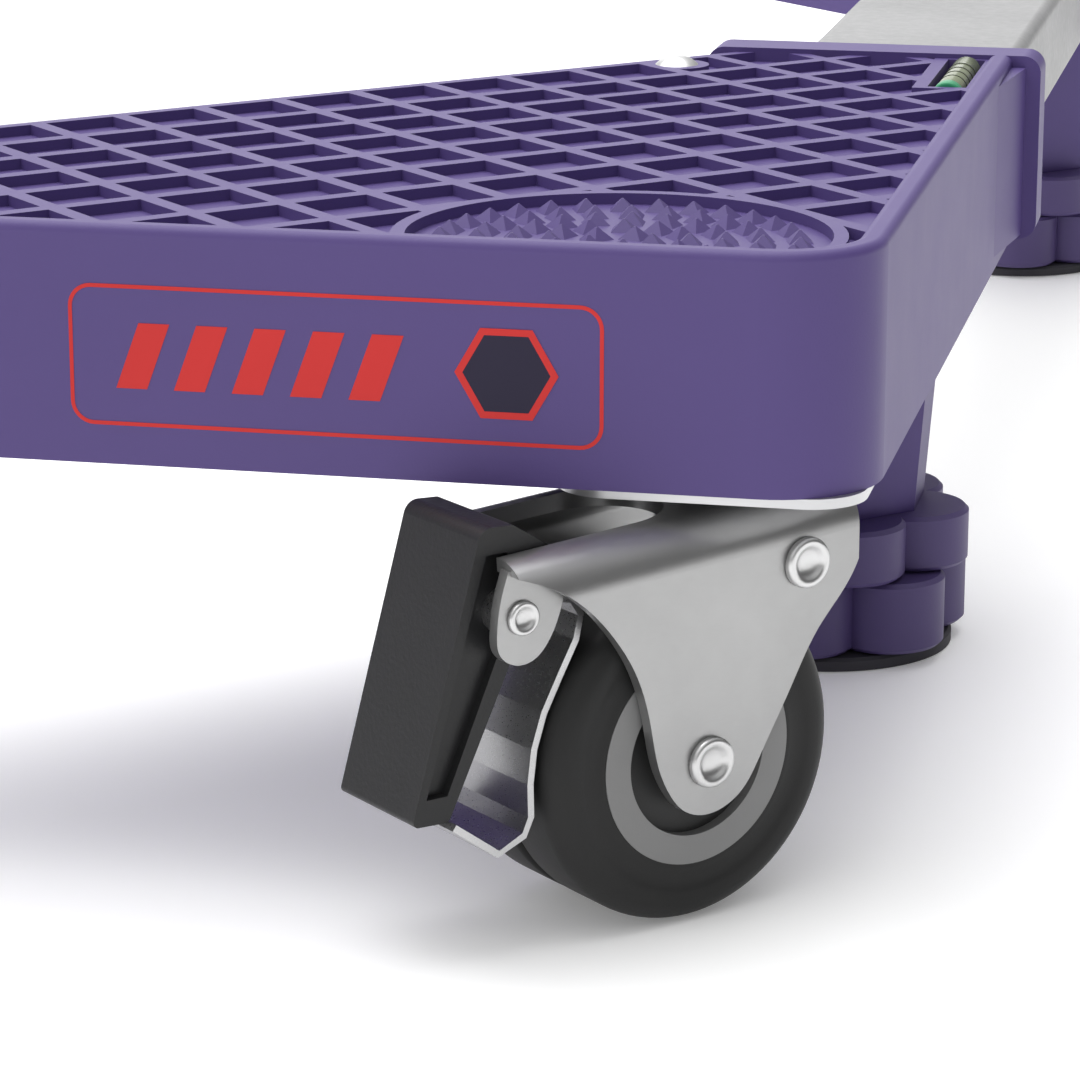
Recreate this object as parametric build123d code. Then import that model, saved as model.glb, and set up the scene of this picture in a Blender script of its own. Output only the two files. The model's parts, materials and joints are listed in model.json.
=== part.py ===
from build123d import *
import os
from math import cos, sin, radians, sqrt

# Adjustable rolling base for a heavy appliance: four corner trays joined by rectangular tubes,
# each tray with a braked twin-wheel caster and a screw foot.  Millimetres, +Z up, floor at z = 0,
# origin on the floor at the middle of the base.  X is the width, Y is the depth.

# overall
WIDTH = 560.0            # over the outer faces of the side walls
DEPTH = 612.0            # over the outer faces of the front and rear walls
DECK_Z = 94.0            # top of the lattice ribs above the floor

# tray
WALL_T = 4.0             # outer wall thickness
WALL_BOTTOM = -32.6      # bottom of the outer wall, from the rib tops
RIM_UP = 0.8             # rim above the rib tops
CORNER_R = 15.0          # vertical rounding of the outer corner
HYP_SUM = 224.6          # the long edge: distance from one wall plus distance from the other
LEG = 178.0              # corner to the front of the collar
COLLAR_T = 9.0
COLLAR_OUT = 5.0         # collar stands proud of the wall
COLLAR_IN = 53.0
FLARE_OUT = 2.6          # the wall widens just before the collar
FLARE_LONG = 22.0
CELL_DEPTH = 1.6
FLOOR_T = 2.2
RIB_T = 2.6
RIB_PITCH_A = 14.3       # ribs square to the long edge
RIB_FIRST_A = -1.0
RIBS_B = (158.0, 143.7, 131.7, 119.1, 106.1, 93.1, 79.0, 64.8, 50.6, 36.4)
DISC_X = -36.4           # centre of the round grip disc
DISC_Y = 13.3
DISC_R = 31.0
DISC_RING = 2.0
SPIKE_BASE = 3.8
SPIKE_H = 1.9
SPIKE_RINGS = ((4.5, 5), (9.5, 12), (14.5, 18), (19.5, 24), (24.6, 30))   # radius and count

# tube and its socket
TUBE_W = 40.0
TUBE_H = 20.0
TUBE_WALL = 1.6
TUBE_GAP = 0.4
TUBE_IN = 24.4           # tube centre line from the outer face
TUBE_TOP = -7.6
SOCKET_START = 50.0
TUBE_START = 53.0        # end of a tube in the tray it is fixed to
TUBE_TIP = 130.0         # end of a tube in the tray it slides in

# level and screws
LEVEL_X = -7.6
LEVEL_Y0 = 146.0
LEVEL_Y1 = 176.0
LEVEL_R = 2.6
LEVEL_FLOOR = -4.4       # bottom of the level's pocket
SCREW_X = -55.5
SCREW_Y = 161.0

# screw foot
FOOT_X = -26.0
FOOT_Y = 142.0
COLUMN_END = 24.4
STUD_R = 8.0
NUT_LOBE_R = 9.6
NUT_LOBE_AT = 15.2
PAD_R = 22.0
PAD_T = 2.2
KNOB_BOTTOM = 2.5
SPIGOT_R = 6.0

# caster
KING_IN = 22.6           # kingpin from both outer faces
HEADING = 47.0           # rolling direction of the front right caster
PLATE = 42.6
PLATE_T = 1.4
TRAIL = 14.8             # axle behind the kingpin
WHEEL_R = 24.0
WHEEL_HALF = 13.2
HUB_R = 15.4
RING_IN = 11.3
FORK_IN = 14.0
FORK_OUT = 16.0
CROWN_TOP = 59.2
CROWN_T = 2.5
BEND_R = 6.0             # outer radius of the bend between crown and cheek
CROWN_SLOPE = 3.2        # crown falls towards the brake, degrees
RACE_R = 10.0            # raised ring round the kingpin
SLOT_HALF = 9.2          # slot in the crown behind the kingpin
SLOT_END = -22.5
CHEEK_S = 1.2            # rivet through each cheek
CHEEK_Z = 49.6
HEAD_R = 3.6             # rivet heads
PIVOT_S = -43.2          # brake pivot
PIVOT_Z = 48.3

Z = DECK_Z


def box(x0, x1, y0, y1, z0, z1):
    """Box from its six faces."""
    b = Box(x1 - x0, y1 - y0, z1 - z0)
    return Pos((x0 + x1) / 2, (y0 + y1) / 2, (z0 + z1) / 2) * b


def cyl(x, y, z0, z1, r):
    """Upright cylinder."""
    return Pos(x, y, (z0 + z1) / 2) * Cylinder(r, z1 - z0)


def across(s, z, y0, y1, r):
    """Cylinder lying along the axle direction."""
    return Pos(s, (y0 + y1) / 2, z) * (Rot(90, 0, 0) * Cylinder(r, y1 - y0))


def side_slab(points, y0, y1):
    """Prism from an outline in the caster's side view."""
    face = make_face(Polyline(*points, close=True))
    return Pos(0, y1, 0) * (Rot(90, 0, 0) * extrude(face, amount=y1 - y0))


def swap(part):
    """The same feature on the tray's other leg."""
    return mirror(part, about=Plane(origin=(0, 0, 0), z_dir=(1, 1, 0)))


# ---------------------------------------------------------------- tray

def tray_outline(inset, hyp_inset, radius):
    """Plan of the tray: a corner cut by the long edge, stopped at the collars."""
    far = LEG
    reach = HYP_SUM - LEG - hyp_inset * sqrt(2)
    pts = [(-inset, inset), (-inset, far), (-reach, far), (-far, reach), (-far, inset)]
    face = make_face(Polyline(*pts, close=True))
    corner = [v for v in face.vertices() if abs(v.X + inset) < 0.01 and abs(v.Y - inset) < 0.01]
    return fillet(corner, radius)


def rib_sheet():
    """Plan of the diagonal lattice ribs."""
    ribs = []
    for k in range(-10, 11):
        u = RIB_FIRST_A + k * RIB_PITCH_A
        at = u / sqrt(2)
        ribs.append(Pos(at - 80, at + 80) * (Rot(0, 0, 135) * Rectangle(330, RIB_T)))
    for v in RIBS_B:
        at = v / sqrt(2)
        ribs.append(Pos(-at, at) * (Rot(0, 0, 45) * Rectangle(340, RIB_T)))
    field = tray_outline(WALL_T - 0.5, 0.0, CORNER_R - WALL_T)
    sheet = Sketch() + ribs
    sheet = sheet & field
    return sheet


def lattice():
    """Ribs with the round ring let into them."""
    low = Z - CELL_DEPTH - 0.3
    ribs = Pos(0, 0, low) * extrude(rib_sheet(), amount=Z - low)
    ribs = ribs - cyl(DISC_X, DISC_Y, low - 1, Z + 1, DISC_R - 0.5)
    return ribs


def disc_ring():
    """Ring around the grip disc, cut off by the walls."""
    low = Z - CELL_DEPTH - 0.3
    ring = cyl(DISC_X, DISC_Y, low, Z, DISC_R) - cyl(DISC_X, DISC_Y, low - 1, Z + 1, DISC_R - DISC_RING)
    return ring & box(-100, -WALL_T + 0.5, WALL_T - 0.5, 100, 0, 200)


def spikes():
    """Pyramids of the grip disc, in rings."""
    out = []
    low = Z - CELL_DEPTH - 0.2
    for ring, (r, n) in enumerate(SPIKE_RINGS):
        for k in range(n):
            a = 360.0 * k / n + 7.0 * ring
            x = DISC_X + r * cos(radians(a))
            y = DISC_Y + r * sin(radians(a))
            if y < WALL_T + 2.8 or x > -WALL_T - 2.8:
                continue
            base = Rectangle(SPIKE_BASE, SPIKE_BASE)
            pyramid = extrude(base, amount=SPIKE_H, taper=43)
            out.append(Pos(x, y, low) * (Rot(0, 0, a) * pyramid))
    return out


def collar():
    """Flange round the mouth of the tube socket."""
    y0 = LEG - 1.0
    y1 = LEG - 1.0 + COLLAR_T
    body = box(-COLLAR_IN, COLLAR_OUT, y0, y1, Z - 31.0, Z + RIM_UP)
    edges = [e for e in body.edges().filter_by(Axis.Y)]
    return fillet(edges, 3.0)


def flare():
    """Wedge on the outside of the wall where it meets the collar."""
    start = LEG - FLARE_LONG
    face = make_face(Polyline((-1, start), (0, start), (FLARE_OUT, LEG), (-1, LEG), close=True))
    return Pos(0, 0, Z + WALL_BOTTOM + 2.4) * extrude(face, amount=-WALL_BOTTOM - 3.6)


def tube_space(grow, y0, y1):
    """Room for a tube along the right leg."""
    half = TUBE_W / 2 + grow
    return box(-TUBE_IN - half, -TUBE_IN + half, y0, y1, Z + TUBE_TOP - TUBE_H - grow, Z + TUBE_TOP + grow)


def socket():
    """Inner wall, underside and roof of the tube socket on the right leg."""
    inner = -TUBE_IN - TUBE_W / 2 - TUBE_GAP
    low = Z + TUBE_TOP - TUBE_H - TUBE_GAP
    wall = box(inner - 2.6, inner, SOCKET_START, LEG, low - 2.4, Z - CELL_DEPTH - 0.5)
    under = box(inner - 2.6, -WALL_T + 1, SOCKET_START + 8, LEG, low - 2.4, low)
    roof = box(inner - 2.6, -WALL_T + 1, SOCKET_START, LEG, Z + TUBE_TOP + TUBE_GAP, Z - CELL_DEPTH - 0.5)
    return wall + under + roof


def column():
    """Faceted post that carries the screw foot."""
    top = Z + TUBE_TOP - TUBE_H - TUBE_GAP - 1.0
    lower = Pos(FOOT_X, FOOT_Y, COLUMN_END) * RegularPolygon(17.4, 8, rotation=22.5)
    upper = Pos(FOOT_X, FOOT_Y, top) * RegularPolygon(20.6, 8, rotation=22.5)
    return loft([lower.faces()[0], upper.faces()[0]])


def tray():
    """One corner tray with its lattice deck, sockets, caster pad and foot post."""
    low = Z + WALL_BOTTOM
    shell = Pos(0, 0, low) * extrude(tray_outline(0, 0, CORNER_R), amount=-WALL_BOTTOM - CELL_DEPTH)
    cavity = Pos(0, 0, low) * extrude(tray_outline(WALL_T, 2.6, CORNER_R - WALL_T),
                                      amount=-WALL_BOTTOM - CELL_DEPTH - FLOOR_T)
    shell = shell - cavity
    # raised rim on the two outside walls
    rim = Pos(0, 0, Z - CELL_DEPTH) * extrude(tray_outline(0, 0, CORNER_R), amount=CELL_DEPTH + RIM_UP)
    rim = rim - Pos(0, 0, Z - CELL_DEPTH) * extrude(tray_outline(WALL_T, -12, CORNER_R - WALL_T),
                                                     amount=CELL_DEPTH + RIM_UP + 1)
    crest = [e for e in rim.edges() if e.center().Z > Z + RIM_UP - 0.01 and e.length > 15]
    rim = fillet(crest, 1.3)
    pad = box(-KING_IN - 21.0, -2.0, 2.0, KING_IN + 21.0, low, Z - CELL_DEPTH - 0.5)
    pad = pad & (Pos(0, 0, low) * extrude(tray_outline(1.0, 0, CORNER_R - 1), amount=40))
    body = shell + rim + pad + lattice() + disc_ring()
    body = body + socket() + swap(socket()) + collar() + swap(collar())
    body = body + cyl(SCREW_X, SCREW_Y, Z - 20, Z, 5.5) + swap(cyl(SCREW_X, SCREW_Y, Z - 20, Z, 5.5))
    body = body + column() + level_frame() + flare() + swap(flare())
    body = body + spikes()
    room = tube_space(TUBE_GAP, SOCKET_START, LEG + 20)
    body = body - room - swap(room)
    body = body - cyl(FOOT_X, FOOT_Y, COLUMN_END - 1, 61.0, STUD_R + 0.05)
    body = body - box(LEVEL_X - 3.2, LEVEL_X + 3.2, LEVEL_Y0, LEVEL_Y1, Z + LEVEL_FLOOR, Z + 3)
    for hole in (cyl(SCREW_X, SCREW_Y, Z - 16, Z + 1, 1.5), swap(cyl(SCREW_X, SCREW_Y, Z - 16, Z + 1, 1.5))):
        body = body - hole
    return body


def level_frame():
    """Flat border round the level's pocket."""
    return box(LEVEL_X - 5.6, -WALL_T + 0.5, LEVEL_Y0 - 1.6, LEG, Z - CELL_DEPTH - 0.5, Z)


def screws():
    """Two dome-head screws beside the collars."""
    dome = Pos(SCREW_X, SCREW_Y, Z - 3.4) * Sphere(5.0)
    head = dome & box(SCREW_X - 6, SCREW_X + 6, SCREW_Y - 6, SCREW_Y + 6, Z, Z + 5)
    one = head + cyl(SCREW_X, SCREW_Y, Z - 15, Z + 0.3, 1.5)
    return [one, swap(one)]


def vial():
    """Glass level vial lying in its pocket, with its end caps."""
    y0 = LEVEL_Y0 + 0.2
    y1 = LEVEL_Y1 - 0.2
    zc = Z + LEVEL_FLOOR + LEVEL_R
    rod = Pos(LEVEL_X, (y0 + y1) / 2, zc) * (Rot(90, 0, 0) * Cylinder(LEVEL_R, y1 - y0))
    return rod


# ---------------------------------------------------------------- screw foot

def lobes(turn):
    """Six-lobed hand-nut outline."""
    out = Sketch() + Circle(18.0)
    for k in range(6):
        a = radians(turn + 60 * k)
        out = out + Pos(NUT_LOBE_AT * cos(a), NUT_LOBE_AT * sin(a)) * Circle(NUT_LOBE_R)
    return out


def lobed(turn, z0, z1):
    """Six-lobed hand nut with softened rims."""
    body = extrude(lobes(turn), amount=z1 - z0)
    rims = [e for e in body.edges() if abs(e.center().Z) < 0.01 or abs(e.center().Z - (z1 - z0)) < 0.01]
    body = chamfer(rims, 0.7)
    return Pos(FOOT_X, FOOT_Y, z0) * body


def lock_nut():
    return lobed(-6.7, 15.0, COLUMN_END) - cyl(FOOT_X, FOOT_Y, 10, 30, STUD_R + 0.05)


def knob():
    """Lower hand knob in one piece with its threaded stud and the spigot in the pad."""
    body = lobed(-36.7, KNOB_BOTTOM, 14.6)
    body = body + cyl(FOOT_X, FOOT_Y, 10.0, 56.0, STUD_R)
    return body + cyl(FOOT_X, FOOT_Y, 1.1, KNOB_BOTTOM + 1, SPIGOT_R)


def pad():
    """Rubber pad with a blind socket for the knob's spigot."""
    body = Pos(FOOT_X, FOOT_Y, 0) * extrude(Circle(PAD_R), amount=PAD_T)
    body = body - cyl(FOOT_X, FOOT_Y, 0.8, PAD_T + 1, SPIGOT_R + 0.05)
    rim = [e for e in body.edges() if e.center().Z > PAD_T - 0.1 and e.length > 100]
    return chamfer(rim, 0.5)


# ---------------------------------------------------------------- caster, about its kingpin

def plate():
    """Mounting plate with the kingpin rivet, square to the tray."""
    top = Z + WALL_BOTTOM
    half = PLATE / 2
    body = box(-half, half, -half, half, top - PLATE_T, top)
    near = [e for e in body.edges().filter_by(Axis.Z)]
    body = fillet(near, 8.0)
    body = body + cyl(0, 0, 52.0, top - PLATE_T + 0.5, 4.0)
    body = body + cyl(0, 0, 52.0, 54.9, 7.0)
    return Pos(-KING_IN, KING_IN, 0) * body


def cheek_slab():
    """Cheek outline, distance along the rolling direction and height, as a prism across the fork."""
    edge = Spline((10.6, 48.6), (8.2, 44.8), (3.9, 40.0), (-1.1, 31.8), (-6.0, 23.4), (-9.2, 18.8),
                  (-12.4, 16.9), (-16.0, 16.5), (-19.2, 17.8), (-21.5, 20.5), (-23.4, 24.6), (-24.8, 31.0),
                  (-27.5, 39.0), (-30.5, 43.7), (-34.9, 48.6), (-42.0, 53.2))
    top = Polyline((-42.0, 53.2), (-45.0, 54.2), (-45.4, CROWN_TOP + 2), (10.6, CROWN_TOP + 2), (10.6, 48.6))
    face = make_face([edge, top])
    return Pos(0, 20, 0) * (Rot(90, 0, 0) * extrude(face, amount=40))


def ear(y0, y1):
    """Rounded ear under the crown that carries the brake pivot."""
    edge = Spline((-45.4, 54.9), (-46.7, 50.6), (-47.2, 46.4), (-46.9, 44.0), (-45.4, 42.4), (-43.2, 41.8),
                  (-41.0, 42.4), (-38.9, 44.5), (-37.2, 48.0), (-35.4, 54.9))
    face = make_face([edge, Line((-35.4, 54.9), (-45.4, 54.9))])
    return Pos(0, y1, 0) * (Rot(90, 0, 0) * extrude(face, amount=y1 - y0))


def channel():
    """Bent sheet of the fork: sloping crown running into the cheeks through a wide bend."""
    def section(half, top, radius):
        face = make_face(Polyline((-half, 0), (-half, top), (half, top), (half, 0), close=True))
        bend = [v for v in face.vertices() if v.Y > top - 0.01]
        return fillet(bend, radius)
    sheet = section(FORK_OUT, CROWN_TOP, BEND_R)
    sheet = sheet - section(FORK_IN, CROWN_TOP - CROWN_T, BEND_R - FORK_OUT + FORK_IN)
    stand = Plane(origin=(-60.0, 0, 0), x_dir=(0, 1, 0), z_dir=(1, 0, 0))
    level = extrude(stand * sheet, amount=80)
    return Pos(11, 0, CROWN_TOP) * (Rot(0, -CROWN_SLOPE, 0) * (Pos(-11, 0, -CROWN_TOP) * level))


def race():
    """Raised ring of the crown round the kingpin, over the bearing."""
    low = CROWN_TOP - 2.6
    points = [(0, low), (RACE_R + 3.2, low), (RACE_R + 1.4, CROWN_TOP - 1.6), (RACE_R, CROWN_TOP - 0.5),
              (RACE_R - 1.6, CROWN_TOP), (0, CROWN_TOP)]
    profile = make_face(Plane.XZ * Polyline(*points, close=True))
    return revolve(profile, axis=Axis.Z)


def fork():
    """Stamped fork: crown, two cheeks and two brake ears."""
    body = (channel() & cheek_slab()) + (race() & box(-20, 10.6, -14, 14, 0, 100))
    body = body - box(-60.0, SLOT_END, -SLOT_HALF, SLOT_HALF, 40, 62) - cyl(SLOT_END, 0, 40, 62, SLOT_HALF)
    body = body + ear(10.6, 12.4) + ear(-12.4, -10.6)
    body = body - cyl(0, 0, 40, 70, 4.05)
    body = body - across(-TRAIL, WHEEL_R, -20, 20, 3.0)
    body = body - across(CHEEK_S, CHEEK_Z, -20, 20, 3.0)
    return body - across(PIVOT_S, PIVOT_Z, -13, 13, 1.6)


def rivets():
    """Axle, brake pivot rivet and a rivet through each cheek."""
    def one(s, z, half, r, head_r, head_t):
        pin = across(s, z, -half - 0.05, half + 0.05, r)
        for sign in (-1, 1):
            y0 = min(sign * half, sign * (half + head_t))
            pin = pin + across(s, z, y0, y0 + head_t, head_r)
        return pin
    axle = one(-TRAIL, WHEEL_R, FORK_OUT, 3.0, HEAD_R, 1.2)
    pivot = one(PIVOT_S, PIVOT_Z, 12.4, 1.6, 2.4, 0.8)
    cheek = across(CHEEK_S, CHEEK_Z, FORK_IN - 0.8, FORK_OUT + 0.05, 3.0)
    cheek = cheek + across(CHEEK_S, CHEEK_Z, FORK_OUT, FORK_OUT + 1.2, HEAD_R)
    return [axle, pivot, cheek, mirror(cheek, about=Plane.XZ)]


def wheel_ring(profile):
    """Turned ring about the axle from points (radius, offset along the axle)."""
    pts = [(r, y) for r, y in profile]
    face = make_face(Polyline(*pts, close=True))
    body = revolve(face, axis=Axis.Y)
    return Pos(-TRAIL, 0, WHEEL_R) * body


def tyres():
    """Two tyres side by side with rounded shoulders."""
    out = []
    for sign in (1, -1):
        p = [(HUB_R, 0.6), (22.6, 0.6), (23.6, 1.6), (24.0, 3.5), (24.0, 10.0), (23.5, 11.5), (22.4, 12.6),
             (20.6, WHEEL_HALF), (HUB_R, WHEEL_HALF)]
        out.append(wheel_ring([(r, sign * y) for r, y in p]))
    return out


def hub():
    """Plastic wheel centre under both tyres, turning on the axle."""
    p = [(3.05, -13.5), (5.6, -13.5), (6.0, -11.6), (RING_IN, -11.6), (RING_IN, -9.0), (HUB_R, -9.0),
         (HUB_R, 9.0), (RING_IN, 9.0), (RING_IN, 11.6), (6.0, 11.6), (5.6, 13.5), (3.05, 13.5)]
    return wheel_ring(p)


def hub_rings():
    """Face rings on both sides of the wheel."""
    out = []
    for sign in (1, -1):
        p = [(RING_IN, 9.0), (HUB_R, 9.0), (HUB_R, WHEEL_HALF + 0.1), (RING_IN, WHEEL_HALF + 0.1)]
        out.append(wheel_ring([(r, sign * y) for r, y in p]))
    return out


def pedal():
    """Moulded foot pedal over the brake blade."""
    body = side_slab([(-47.3, 60.3), (-42.3, 60.0), (-35.6, 55.8), (-52.7, 20.8), (-58.5, 21.0)], -9.0, 9.0)
    rails = body.edges().filter_by(Axis.Y)
    body = fillet([e for e in rails if e.center().X < -46 and e.center().Z > 55], 2.2)
    body = fillet([e for e in body.edges().filter_by(Axis.Y) if e.center().Z < 59 or e.center().X > -43], 0.8)
    recess = [(-46.6, 56.5), (-43.4, 56.5), (-39.9, 53.5), (-52.9, 24.5), (-56.2, 24.5)]
    body = body - side_slab(recess, 7.6, 10.0) - side_slab(recess, -10.0, -7.6)
    return body - blade() - across(PIVOT_S, PIVOT_Z, -12, 12, 3.2)


def strip(path, thick):
    """Outline of a bent strip from its middle line."""
    one, other = [], []
    for i, (x, z) in enumerate(path):
        before, after = path[max(i - 1, 0)], path[min(i + 1, len(path) - 1)]
        dx, dz = after[0] - before[0], after[1] - before[1]
        reach = thick / 2 / sqrt(dx * dx + dz * dz)
        one.append((x - dz * reach, z + dx * reach))
        other.append((x + dz * reach, z - dx * reach))
    return one + other[::-1]


def blade():
    """Steel brake blade with its pivot barrel."""
    path = [(-41.6, 48.2), (-36.6, 49.4), (-33.6, 48.6), (-32.2, 46.4), (-33.0, 43.0), (-35.5, 38.6),
            (-38.2, 33.6), (-39.8, 28.8), (-40.4, 24.0), (-40.3, 19.4), (-41.4, 17.0), (-45.6, 15.2),
            (-52.6, 20.3)]
    body = side_slab(strip(path, 1.0), -10.2, 10.2)
    body = body + across(PIVOT_S, PIVOT_Z, -10.2, 10.2, 3.2)
    return body - across(PIVOT_S, PIVOT_Z, -12, 12, 1.65)


# ---------------------------------------------------------------- tubes

def tube(span, fixed_from, tip):
    """Rectangular tube along +Y on the right leg, swaged where it is fixed."""
    outer = tube_space(0.0, fixed_from, tip)
    long_edges = [e for e in outer.edges().filter_by(Axis.Y)]
    outer = fillet(long_edges, 2.2)
    body = outer - tube_space(-TUBE_WALL, fixed_from - 1, tip + 1)
    zc = Z + TUBE_TOP - TUBE_H / 2
    for y in (fixed_from + 30, fixed_from + 90):
        for side in (-1, 1):
            x0 = -TUBE_IN + side * (TUBE_W / 2)
            x1 = x0 + side * TUBE_GAP
            body = body + box(min(x0, x1), max(x0, x1), y - 3, y + 3, zc - 3, zc + 3)
    return body


# ---------------------------------------------------------------- placing

CORNERS = {"fr": (1, -1), "fl": (-1, -1), "rr": (1, 1), "rl": (-1, 1)}


def place(part, corner):
    """Put a tray-side part on its corner; the left and rear corners are mirror images."""
    sx, sy = CORNERS[corner]
    out = Pos(WIDTH / 2, -DEPTH / 2, 0) * part
    if sx < 0:
        out = mirror(out, about=Plane.YZ)
    if sy > 0:
        out = mirror(out, about=Plane.XZ)
    return out


def place_caster(part, corner):
    """Turn a caster part to its heading and put it under its corner."""
    sx, sy = CORNERS[corner]
    turn = {"fr": HEADING, "fl": 180 - HEADING, "rr": -HEADING, "rl": 180 + HEADING}[corner]
    return Pos(sx * (WIDTH / 2 - KING_IN), sy * (DEPTH / 2 - KING_IN), 0) * (Rot(0, 0, turn) * part)


def save(name, shape):
    """Write one node; a list is a group of separate solids."""
    if isinstance(shape, (list, tuple)):
        solids = []
        for s in shape:
            solids += list(s.solids())
        shape = Compound(children=solids)
    elif len(shape.solids()) == 1:
        shape = shape.solids()[0]
    shape.label = name
    export_step(shape, "parts/" + name + ".step")


def main():
    os.makedirs("parts", exist_ok=True)
    tray_side = {"tray": tray(), "screws": screws(), "vial": vial(), "lock_nut": lock_nut(), "knob": knob(),
                 "pad": pad(), "plate": plate()}
    caster = {"fork": fork(), "rivets": rivets(), "tyres": tyres(), "hub": hub(),
              "hub_rings": hub_rings(), "pedal": pedal(), "blade": blade()}
    for corner in CORNERS:
        for name, part in tray_side.items():
            if isinstance(part, list):
                save(name + "_" + corner, [place(p, corner) for p in part])
            else:
                save(name + "_" + corner, place(part, corner))
        for name, part in caster.items():
            if isinstance(part, list):
                save(name + "_" + corner, [place_caster(p, corner) for p in part])
            else:
                save(name + "_" + corner, place_caster(part, corner))
    deep = tube(DEPTH, TUBE_START, DEPTH - TUBE_TIP)
    wide = swap(tube(WIDTH, TUBE_START, WIDTH - TUBE_TIP))
    save("tube_right", place(deep, "fr"))
    save("tube_left", place(deep, "fl"))
    save("tube_front", place(wide, "fr"))
    save("tube_rear", place(wide, "rr"))


main()
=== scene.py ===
import json
import math

import bmesh
import bpy
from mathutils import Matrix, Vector

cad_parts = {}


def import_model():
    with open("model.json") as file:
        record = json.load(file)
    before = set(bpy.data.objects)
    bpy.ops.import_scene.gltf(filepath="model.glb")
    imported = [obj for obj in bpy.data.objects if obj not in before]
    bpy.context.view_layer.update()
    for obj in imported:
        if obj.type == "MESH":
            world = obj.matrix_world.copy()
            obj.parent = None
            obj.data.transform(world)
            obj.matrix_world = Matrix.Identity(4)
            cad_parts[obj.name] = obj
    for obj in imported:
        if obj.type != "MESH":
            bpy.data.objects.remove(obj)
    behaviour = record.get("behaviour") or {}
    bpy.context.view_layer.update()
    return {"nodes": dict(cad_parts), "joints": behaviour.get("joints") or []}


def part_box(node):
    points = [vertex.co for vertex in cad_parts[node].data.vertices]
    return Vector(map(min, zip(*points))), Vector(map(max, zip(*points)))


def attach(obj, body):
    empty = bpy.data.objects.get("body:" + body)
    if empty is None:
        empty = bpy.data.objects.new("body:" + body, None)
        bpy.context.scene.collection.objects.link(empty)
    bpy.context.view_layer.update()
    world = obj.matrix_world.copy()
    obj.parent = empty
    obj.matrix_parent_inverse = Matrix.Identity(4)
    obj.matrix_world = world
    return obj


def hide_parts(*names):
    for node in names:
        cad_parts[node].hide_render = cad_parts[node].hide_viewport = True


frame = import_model()

MM = 0.001
SKY_TOP = 1.65                 # brightness of the surroundings overhead

# These lengths are in millimetres.
COLLAR_PROUD = 5.0             # collars past the outer walls, which set the tray's box
RIM_UP = 0.8                   # rim above the rib tops
CHEEK_S, CHEEK_Z = 1.2, 49.6   # rivet through each cheek, from the kingpin and the floor
CHEEK_IN, CHEEK_OUT = 13.2, 16.0   # where the cheek rivet starts, and the cheek's outer face
EAR_OUT = 12.4                 # outer face of a brake ear
BIG_RIVET = (3.0, 3.6, 1.2)    # shank radius, head radius, head height
PIVOT_RIVET = (1.6, 2.4, 0.8)
DISH = ((1.15, 0.05), (1.5, 0.25), (1.8, 0.55), (2.3, 0.85))   # in and down from a head's lip
DISH_HEAD = 4.1                # head radius that the dish is drawn for
CAP_LONG = 2.6                 # cap of each level vial
READING_LINES = (-6.6, -2.2, 2.2, 6.6)
LINE_HALF = 0.14               # half the width of a reading line
PANEL_FAR, PANEL_NEAR = 110.0, 36.0   # ends of the printed panel, from the tray's right wall
PANEL_DOWN, PANEL_HALF = 18.0, 9.6    # middle of the panel below the rim, and half its height
PANEL_ROUND = 3.0              # corner radius of the panel's frame
FRAME_WIDTH, HEX_WIDTH = 0.55, 1.1    # printed lines of the frame and of the hexagon
PRINT_OFF = 0.06               # print stands off the wall by this
BAR_FIRST, BAR_STEP = 8, 8.2   # first bar from the panel's far end, and from bar to bar
BAR_WIDTH, BAR_LEAN, BAR_HALF = 4.4, 3.4, 4.6
HEX_IN, HEX_R = 13.0, 6.6      # hexagon's middle from the panel's near end, and its radius

BAR_COUNT = 5
NOISE_LOW, NOISE_HIGH = 0.25, 0.75    # range that a noise value mostly stays in
CORNERS = ("fr", "fl", "rr", "rl")
nodes = frame["nodes"]
joints = {j["name"]: j for j in frame["joints"]}


# ------------------------------------------------------------------ materials

def new_material(name, color, rough, metal=0.0, **extra):
    """Principled material with its shader returned for wiring."""
    mat = bpy.data.materials.new(name)
    mat.use_nodes = True
    tree = mat.node_tree
    shader = tree.nodes["Principled BSDF"]
    shader.inputs["Base Color"].default_value = (*color, 1.0)
    shader.inputs["Roughness"].default_value = rough
    shader.inputs["Metallic"].default_value = metal
    for key, value in extra.items():
        shader.inputs[key.replace("_", " ")].default_value = value
    return mat, tree, shader


def object_coords(tree, scale=(1, 1, 1)):
    """Surface position in the object's own metres, stretched."""
    coord = tree.nodes.new("ShaderNodeTexCoord")
    mapping = tree.nodes.new("ShaderNodeMapping")
    mapping.inputs["Scale"].default_value = scale
    tree.links.new(coord.outputs["Object"], mapping.inputs["Vector"])
    return mapping.outputs["Vector"]


def noise(tree, vector, scale, detail=4.0, rough=0.55):
    """Noise value over the surface."""
    node = tree.nodes.new("ShaderNodeTexNoise")
    node.inputs["Scale"].default_value = scale
    node.inputs["Detail"].default_value = detail
    node.inputs["Roughness"].default_value = rough
    tree.links.new(vector, node.inputs["Vector"])
    return node.outputs["Fac"]


def ramp(tree, value, stops):
    """Colour ramp of (position, colour) stops."""
    node = tree.nodes.new("ShaderNodeValToRGB")
    points = node.color_ramp.elements
    while len(points) < len(stops):
        points.new(0.5)
    for point, (at, color) in zip(points, stops):
        point.position = at
        point.color = (*color, 1.0)
    tree.links.new(value, node.inputs["Fac"])
    return node.outputs["Color"]


def spread(tree, value, low, high):
    """Middle range of a noise value stretched to low..high."""
    node = tree.nodes.new("ShaderNodeMapRange")
    node.inputs["From Min"].default_value = NOISE_LOW
    node.inputs["From Max"].default_value = NOISE_HIGH
    node.inputs["To Min"].default_value = low
    node.inputs["To Max"].default_value = high
    tree.links.new(value, node.inputs["Value"])
    return node.outputs["Result"]


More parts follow.
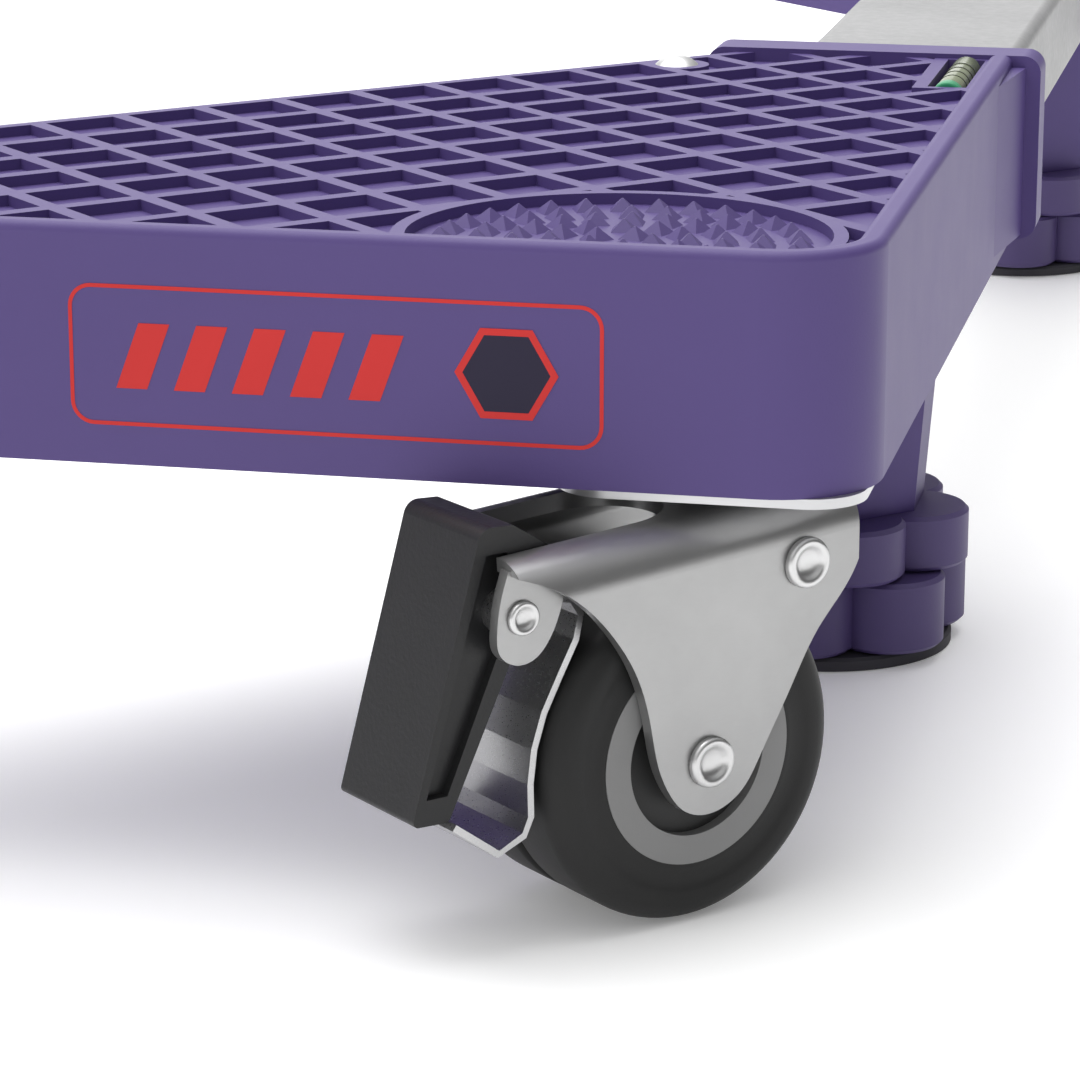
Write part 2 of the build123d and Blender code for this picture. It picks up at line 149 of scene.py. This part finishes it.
def bump(tree, shader, height, strength, distance):
    """Fine relief on the shader's normal."""
    node = tree.nodes.new("ShaderNodeBump")
    node.inputs["Strength"].default_value = strength
    node.inputs["Distance"].default_value = distance
    tree.links.new(height, node.inputs["Height"])
    tree.links.new(node.outputs["Normal"], shader.inputs["Normal"])


def tinted(color, factor):
    """Colour made lighter or darker."""
    return tuple(min(1.0, c * factor) for c in color)


def plastic(name, color, rough, grain=2600, strength=0.12, contrast=0.08, **extra):
    """Moulded plastic: slow tone changes, fine grain and uneven gloss."""
    mat, tree, shader = new_material(name, color, rough, **extra)
    at = object_coords(tree)
    tone = ramp(tree, noise(tree, at, 14, 3.0),
                ((0.3, tinted(color, 1 - contrast)), (0.7, tinted(color, 1 + contrast))))
    tree.links.new(tone, shader.inputs["Base Color"])
    fine = noise(tree, at, grain, 2.0)
    gloss = spread(tree, noise(tree, at, 90, 5.0), rough - 0.015, rough + 0.02)
    tree.links.new(gloss, shader.inputs["Roughness"])
    bump(tree, shader, fine, strength, 0.00012)
    return mat


def sheet_metal(name, color, rough, stretch, grain=900, metal=1.0, marks=1.0, **extra):
    """Rolled, pressed or painted sheet: directional grain, scaled by marks, and faint clouds."""
    mat, tree, shader = new_material(name, color, rough, metal, **extra)
    at = object_coords(tree, stretch)
    cloud = ramp(tree, noise(tree, object_coords(tree), 26, 5.0),
                 ((0.32, tinted(color, 0.88)), (0.68, tinted(color, 1.07))))
    tree.links.new(cloud, shader.inputs["Base Color"])
    lines = noise(tree, at, grain, 3.0, 0.7)
    gloss = spread(tree, lines, rough - 0.06 * marks, rough + 0.08 * marks)
    tree.links.new(gloss, shader.inputs["Roughness"])
    bump(tree, shader, lines, 0.06 * marks, 0.00006)
    return mat


def glass(name, color, rough):
    """Tinted liquid-filled glass, seen against the dark bottom of its pocket."""
    mat, tree, shader = new_material(name, color, rough, Specular_IOR_Level=0.4)
    at = object_coords(tree)
    tone = ramp(tree, noise(tree, at, 160, 3.0),
                ((0.3, tinted(color, 0.8)), (0.7, tinted(color, 1.15))))
    tree.links.new(tone, shader.inputs["Base Color"])
    bump(tree, shader, noise(tree, at, 400, 2.0), 0.03, 0.00005)
    return mat


PURPLE = (0.086, 0.058, 0.196)
M = {
    "tray": plastic("purple_tray_plastic", PURPLE, 0.50, contrast=0.03, Specular_IOR_Level=0.3),
    "foot": plastic("purple_foot_plastic", (0.082, 0.058, 0.168), 0.48, contrast=0.05,
                    Specular_IOR_Level=0.35),
    "tube": sheet_metal("grey_painted_tube", (0.26, 0.26, 0.264), 0.42, (1, 1, 1),
                        grain=500, metal=0.0),
    "fork": sheet_metal("pressed_zinc_steel", (0.385, 0.385, 0.385), 0.34, (1, 1, 6),
                        grain=700, metal=0.85),
    "plate": sheet_metal("zinc_sheet", (0.60, 0.60, 0.61), 0.34, (3, 1, 1),
                         grain=900, metal=0.9, marks=0.3),
    "blade": sheet_metal("smooth_zinc_blade", (0.50, 0.50, 0.505), 0.28, (1, 1, 2),
                         grain=2200, metal=0.95, marks=0.3),
    "rivet": sheet_metal("bright_rivet", (0.62, 0.62, 0.62), 0.32, (1, 1, 1),
                         grain=300, metal=0.95, marks=0.3),
    "tyre": plastic("black_tyre_rubber", (0.021, 0.021, 0.021), 0.5, grain=1800, strength=0.2,
                    contrast=0.14, Specular_IOR_Level=0.22),
    # Black rubber, lightened and tinted purple by a painted reflection of the tray.
    "pad": plastic("black_pad_rubber", (0.052, 0.050, 0.058), 0.62, grain=1500, strength=0.25,
                   contrast=0.14, Specular_IOR_Level=0.2),
    "hub": plastic("dark_hub_plastic", (0.030, 0.030, 0.030), 0.5, Specular_IOR_Level=0.3),
    "ring": plastic("grey_ring_plastic", (0.235, 0.235, 0.235), 0.5, Specular_IOR_Level=0.3),
    "pedal": plastic("black_pedal_plastic", (0.018, 0.018, 0.019), 0.38, grain=1500,
                     strength=0.3, contrast=0.1, Specular_IOR_Level=0.3),
    "vial": glass("green_vial_liquid", (0.16, 0.19, 0.10), 0.2),
    "cap": plastic("green_vial_cap", (0.015, 0.26, 0.11), 0.35),
    "line": plastic("black_vial_line", (0.012, 0.012, 0.012), 0.5),
    "red": plastic("red_printed_ink", (0.56, 0.032, 0.030), 0.5, grain=3000, strength=0.04,
                   Specular_IOR_Level=0.2),
    "dark": plastic("dark_printed_ink", (0.022, 0.018, 0.040), 0.5, grain=3000, strength=0.04,
                    Specular_IOR_Level=0.2),
}

# CAD node kind: material, and the width in mm of its softened edges
KINDS = {
    "tray": ("tray", 0.25), "screws": ("rivet", 0), "vial": ("vial", 0), "plate": ("plate", 0.5),
    "lock_nut": ("foot", 0.5), "knob": ("foot", 0.5), "pad": ("pad", 0), "fork": ("fork", 0.45),
    "rivets": ("rivet", 0), "tyres": ("tyre", 0), "hub": ("hub", 0), "hub_rings": ("ring", 0),
    "pedal": ("pedal", 0.5), "blade": ("blade", 0.2), "tube": ("tube", 0),
}


def soften(obj, width):
    """Small rounded edges, so that they catch the light."""
    edge = obj.modifiers.new("edge", "BEVEL")
    edge.width = width * MM
    edge.segments = 2
    edge.limit_method = "ANGLE"
    edge.angle_limit = math.radians(38)
    edge.use_clamp_overlap = True
    edge.harden_normals = False


def dress(obj, mat):
    """One material on a whole object."""
    obj.data.materials.clear()
    obj.data.materials.append(mat)


for name, obj in nodes.items():
    mat_name, edge_width = KINDS[name.rsplit("_", 1)[0]]
    dress(obj, M[mat_name])
    if edge_width:
        soften(obj, edge_width)


# ------------------------------------------------------------------ shape helpers

def add_mesh(name, verts, faces, mat, body, slot_name, smooth=True):
    """Mesh piece that rides on a body."""
    mesh = bpy.data.meshes.new(name)
    mesh.from_pydata(verts, [], faces)
    mesh.validate()
    if smooth:
        shell = bmesh.new()
        shell.from_mesh(mesh)
        bmesh.ops.recalc_face_normals(shell, faces=shell.faces)
        shell.to_mesh(mesh)
        shell.free()
    mesh.update()
    obj = bpy.data.objects.new(name, mesh)
    bpy.context.scene.collection.objects.link(obj)
    mesh.materials.append(mat)
    if smooth:
        mesh.shade_smooth()
        mesh.set_sharp_from_angle(angle=math.radians(36))
    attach(obj, body)
    return obj


def axis_frame(axis):
    """Two directions square to an axis."""
    axis = Vector(axis).normalized()
    first = Vector((0, 0, 1)).cross(axis)
    if first.length < 0.1:
        first = Vector((1, 0, 0))
    first.normalize()
    return axis, first, axis.cross(first)


def lathe_data(profile, at, axis, steps):
    """Turned piece from a closed loop of (radius, offset) points in mm."""
    axis, u, v = axis_frame(axis)
    at = Vector(at)
    verts = []
    for k in range(steps):
        a = 2 * math.pi * k / steps
        out = u * math.cos(a) + v * math.sin(a)
        verts += [tuple(at + out * (r * MM) + axis * (y * MM)) for r, y in profile]
    n = len(profile)
    faces = []
    for k in range(steps):
        nxt = (k + 1) % steps
        for i in range(n):
            j = (i + 1) % n
            faces.append((k * n + i, k * n + j, nxt * n + j, nxt * n + i))
    return verts, faces


def merge(parts):
    """Several (verts, faces) as one."""
    verts, faces = [], []
    for v, f in parts:
        base = len(verts)
        verts += v
        faces += [tuple(i + base for i in face) for face in f]
    return verts, faces


def arc(cx, cy, r, a0, a1, steps):
    """Points of a round stretch, in degrees."""
    return [(cx + r * math.cos(math.radians(a0 + (a1 - a0) * k / steps)),
             cy + r * math.sin(math.radians(a0 + (a1 - a0) * k / steps))) for k in range(steps + 1)]


# ------------------------------------------------------------------ wheels and rivets

def tyre_profile(side):
    """Half of the twin tyre, as (radius, offset) in mm: tread, round shoulder, side face."""
    pts = [(15.4, 0.6)] + arc(22.9, 1.7, 1.1, -90, 0, 4) + arc(20.4, 9.6, 3.6, 0, 90, 10)
    pts += [(19.2, 13.2), (18.9, 13.05), (16.4, 13.05), (16.1, 13.2), (15.4, 13.2)]
    return [(r, side * y) for r, y in pts]


def eyelet(side, half, r, head, thick):
    """Rolled rivet head with a dished middle, and half of its shank."""
    k, y = head / DISH_HEAD, half
    lip = 0.7 * k
    pts = [(0.001, 0.0), (r, 0.0), (r, y), (head - 0.2, y), (head, y + 0.2)]
    pts += arc(head - lip, y + thick - lip, lip, 0, 90, 4)
    pts += [(head - a * k, y + thick - b * k) for a, b in DISH]
    pts += [(0.9 * k, y + thick - 1.0 * k), (0.001, y + thick - 1.03 * k)]
    return [(a, side * b) for a, b in pts]


for c in CORNERS:
    spin = joints["spin_" + c]
    brake = joints["brake_pedal_" + c]
    axle, across = Vector(spin["pos_m"]), Vector(spin["axis"])
    low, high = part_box("plate_" + c)
    king = (low + high) / 2
    ahead = Vector((king.x - axle.x, king.y - axle.y, 0)).normalized()
    fork_body, wheel_body = "fork_" + c + "_body", "wheel_" + c

    halves = [lathe_data(tyre_profile(s), axle, across, 96) for s in (1, -1)]
    tyres = add_mesh("tyre_pair_" + c, *merge(halves), M["tyre"], wheel_body, "tyre")
    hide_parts("tyres_" + c)

    heads = []
    pivot = Vector(brake["pos_m"])
    cheek = Vector((king.x, king.y, CHEEK_Z * MM)) + ahead * (CHEEK_S * MM)
    for s in (1, -1):
        heads.append(lathe_data(eyelet(s, CHEEK_OUT, *BIG_RIVET), axle, across, 40))
        heads.append(lathe_data(eyelet(s, EAR_OUT, *PIVOT_RIVET), pivot, across, 32))
        through = eyelet(s, CHEEK_OUT, *BIG_RIVET)
        through[0], through[1] = (0.001, s * CHEEK_IN), (BIG_RIVET[0], s * CHEEK_IN)
        heads.append(lathe_data(through, cheek, across, 40))
    rivets = add_mesh("rolled_rivets_" + c, *merge(heads), M["rivet"], fork_body,
                      "bright_steel")
    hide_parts("rivets_" + c)


# ------------------------------------------------------------------ level vials

def vial_parts(c):
    """Glass body, the cap at the end nearest the tray's corner, and reading lines of the level."""
    low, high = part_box("vial_" + c)
    mid = (low + high) / 2
    r = (high.x - low.x) / 2 / MM
    half = (high.y - low.y) / 2 / MM
    body = "corner_" + c
    face = 1 if c.startswith("f") else -1
    end = half - CAP_LONG

    def turned(profile, steps):
        return lathe_data([(a, face * b) for a, b in profile], mid, (0, 1, 0), steps)

    tube = [(0.001, -end)] + arc(r - 0.6, -end + 0.5, 0.5, -90, 0, 3)
    tube += arc(r - 0.6, half - 0.5, 0.5, 0, 90, 3) + [(0.001, half)]
    piece = add_mesh("level_glass_" + c, *turned(tube, 40), M["vial"], body, "level_vial")
    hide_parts("vial_" + c)
    cap = [(0.001, -end - 0.05), (r, -end - 0.05)]
    cap += [(a, -b) for a, b in arc(r - 0.5, half - 0.5, 0.5, 0, 90, 4)]
    cap += [(r - 1.0, -half), (r - 1.15, 0.2 - half), (0.001, 0.2 - half)]
    add_mesh("level_cap_" + c, *turned(cap, 36), M["cap"], body, "level_vial")
    lines = []
    for y in READING_LINES:
        ring = [(r - 0.3, y - LINE_HALF), (r - 0.02, y - LINE_HALF),
                (r - 0.02, y + LINE_HALF), (r - 0.3, y + LINE_HALF)]
        lines.append(turned(ring, 40))
    add_mesh("level_lines_" + c, *merge(lines), M["line"], body, "level_vial")


for c in CORNERS:
    vial_parts(c)


# ------------------------------------------------------------------ printed panel on the front wall

def flat_outline(points, width, y):
    """Closed line of even width round points in the front wall's plane, as quads."""
    n = len(points)
    verts, faces = [], []
    for i, p in enumerate(points):
        a, b = Vector(points[i - 1]), Vector(points[(i + 1) % n])
        along = (b - a).normalized()
        side = Vector((-along.y, along.x)) * (width / 2)
        for q in (Vector(p) + side, Vector(p) - side):
            verts.append((q.x, y, q.y))
    for i in range(n):
        j = (i + 1) % n
        faces.append((2 * i, 2 * j, 2 * j + 1, 2 * i + 1))
    return verts, faces


def flat_face(points, y):
    """Filled outline in the front wall's plane."""
    return [(p[0], y, p[1]) for p in points], [tuple(range(len(points)))]


def printed_panel():
    """Red framed panel with plain slanted bars and a hexagon, as generic printing."""
    low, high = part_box("tray_fr")
    wall = low.y + COLLAR_PROUD * MM - PRINT_OFF * MM
    right = high.x - COLLAR_PROUD * MM
    zc = high.z - PANEL_DOWN * MM
    x0, x1 = right - PANEL_FAR * MM, right - PANEL_NEAR * MM
    half, r = PANEL_HALF * MM, PANEL_ROUND * MM
    frame_pts = []
    for cx, cz, a in ((x1 - r, zc + half - r, 0), (x0 + r, zc + half - r, 90),
                      (x0 + r, zc - half + r, 180), (x1 - r, zc - half + r, 270)):
        frame_pts += arc(cx, cz, r, a, a + 90, 8)
    parts = [flat_outline(frame_pts, FRAME_WIDTH * MM, wall)]
    w, lean, h = BAR_WIDTH * MM, BAR_LEAN * MM, BAR_HALF * MM
    for k in range(BAR_COUNT):
        x = x0 + (BAR_FIRST + BAR_STEP * k) * MM
        parts.append(flat_face([(x - lean / 2, zc - h), (x - lean / 2 + w, zc - h),
                                (x + lean / 2 + w, zc + h), (x + lean / 2, zc + h)], wall))
    hx, hr = x1 - HEX_IN * MM, HEX_R * MM
    corners = [math.radians(60 * k) for k in range(6)]
    hexagon = [(hx + hr * math.cos(a), zc + hr * math.sin(a)) for a in corners]
    parts.append(flat_outline(hexagon, HEX_WIDTH * MM, wall - PRINT_OFF / 2 * MM))
    add_mesh("printed_panel", *merge(parts), M["red"], "corner_fr", "tray_plastic",
             smooth=False)
    add_mesh("printed_hexagon", *flat_face(hexagon, wall), M["dark"], "corner_fr",
             "tray_plastic", smooth=False)


printed_panel()


# ------------------------------------------------------------------ floor, light and camera

def floor():
    """Plain pale floor with a faint painted glow, which lightens the shadows cast on it and lights
    the undersides.
    """
    bpy.ops.mesh.primitive_plane_add(size=14.0, location=(0, 0, -0.0002))
    obj = bpy.context.object
    obj.name = "studio_floor"
    # Painted glow: the floor emits a little light of its own, which lightens the shadows on it.
    mat, tree, shader = new_material("pale_floor", (0.93, 0.93, 0.93), 0.85,
                                     Emission_Color=(1.0, 1.0, 1.0, 1.0),
                                     Emission_Strength=0.16)
    tone = ramp(tree, noise(tree, object_coords(tree), 0.8, 2.0),
                ((0.3, (0.92, 0.92, 0.92)), (0.7, (0.94, 0.94, 0.94))))
    tree.links.new(tone, shader.inputs["Base Color"])
    dress(obj, mat)


def area(name, location, target, size, power):
    """Soft square light aimed at a point."""
    data = bpy.data.lights.new(name, "AREA")
    data.energy = power
    data.size = size
    obj = bpy.data.objects.new(name, data)
    obj.location = location
    aim = Vector(target) - Vector(location)
    obj.rotation_euler = aim.to_track_quat("-Z", "Y").to_euler()
    bpy.context.scene.collection.objects.link(obj)


def world(stops, sides):
    """Soft white surroundings from two ramps: height of the direction, and left to right."""
    w = bpy.data.worlds.new("studio")
    bpy.context.scene.world = w
    w.use_nodes = True
    tree = w.node_tree
    back = tree.nodes["Background"]
    coord = tree.nodes.new("ShaderNodeTexCoord")
    split = tree.nodes.new("ShaderNodeSeparateXYZ")
    tree.links.new(coord.outputs["Generated"], split.inputs["Vector"])
    sky = ramp(tree, split.outputs["Z"], [(at, (level / SKY_TOP,) * 3) for at, level in stops])
    side = tree.nodes.new("ShaderNodeMapRange")
    side.inputs["From Min"].default_value = -1.0
    side.inputs["From Max"].default_value = 1.0
    tree.links.new(split.outputs["X"], side.inputs["Value"])
    shade = ramp(tree, side.outputs["Result"], [(at, (level,) * 3) for at, level in sides])
    mix = tree.nodes.new("ShaderNodeMix")
    mix.data_type = "RGBA"
    mix.blend_type = "MULTIPLY"
    mix.inputs["Factor"].default_value = 1.0
    tree.links.new(sky, mix.inputs["A"])
    tree.links.new(shade, mix.inputs["B"])
    tree.links.new(mix.outputs["Result"], back.inputs["Color"])
    back.inputs["Strength"].default_value = SKY_TOP


CAM_UNIT = 0.105                      # metres
CAM_PLACE = (0.631, -4.85, 1.0)       # from the tray's top front corner, in those units
CAM_LENS = 133.6                      # mm
CAM_DOWN, CAM_LEFT = 15.541, 12.261   # degrees below level, and left of straight back


def camera():
    """The photograph's view: low, close on the front right corner, through a long lens."""
    low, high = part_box("tray_fr")
    inset = COLLAR_PROUD * MM
    corner = Vector((high.x - inset, low.y + inset, high.z - RIM_UP * MM))
    data = bpy.data.cameras.new("photo_camera")
    data.sensor_width = 36.0
    data.lens = CAM_LENS
    data.clip_start = 0.01
    data.clip_end = 60.0
    obj = bpy.data.objects.new("photo_camera", data)
    obj.location = corner + Vector(CAM_PLACE) * CAM_UNIT
    obj.rotation_euler = (math.radians(90 - CAM_DOWN), 0.0, math.radians(CAM_LEFT))
    bpy.context.scene.collection.objects.link(obj)
    bpy.context.scene.camera = obj


floor()
world(((0.0, 0.36), (0.3, 0.62), (0.65, 1.15), (1.0, SKY_TOP)),
      ((0.0, 1.0), (0.5, 0.95), (0.75, 0.55), (1.0, 0.08)))
area("top_light", (-0.2, 0.1, 1.8), (0.15, -0.1, 0), 2.0, 30)
area("back_light", (-0.5, 2.2, 0.75), (0.15, -0.1, 0.08), 1.4, 6)
area("left_light", (-1.4, -0.9, 0.8), (0.15, -0.25, 0.05), 0.7, 1.2)
camera()
bpy.context.scene.view_settings.view_transform = "Standard"
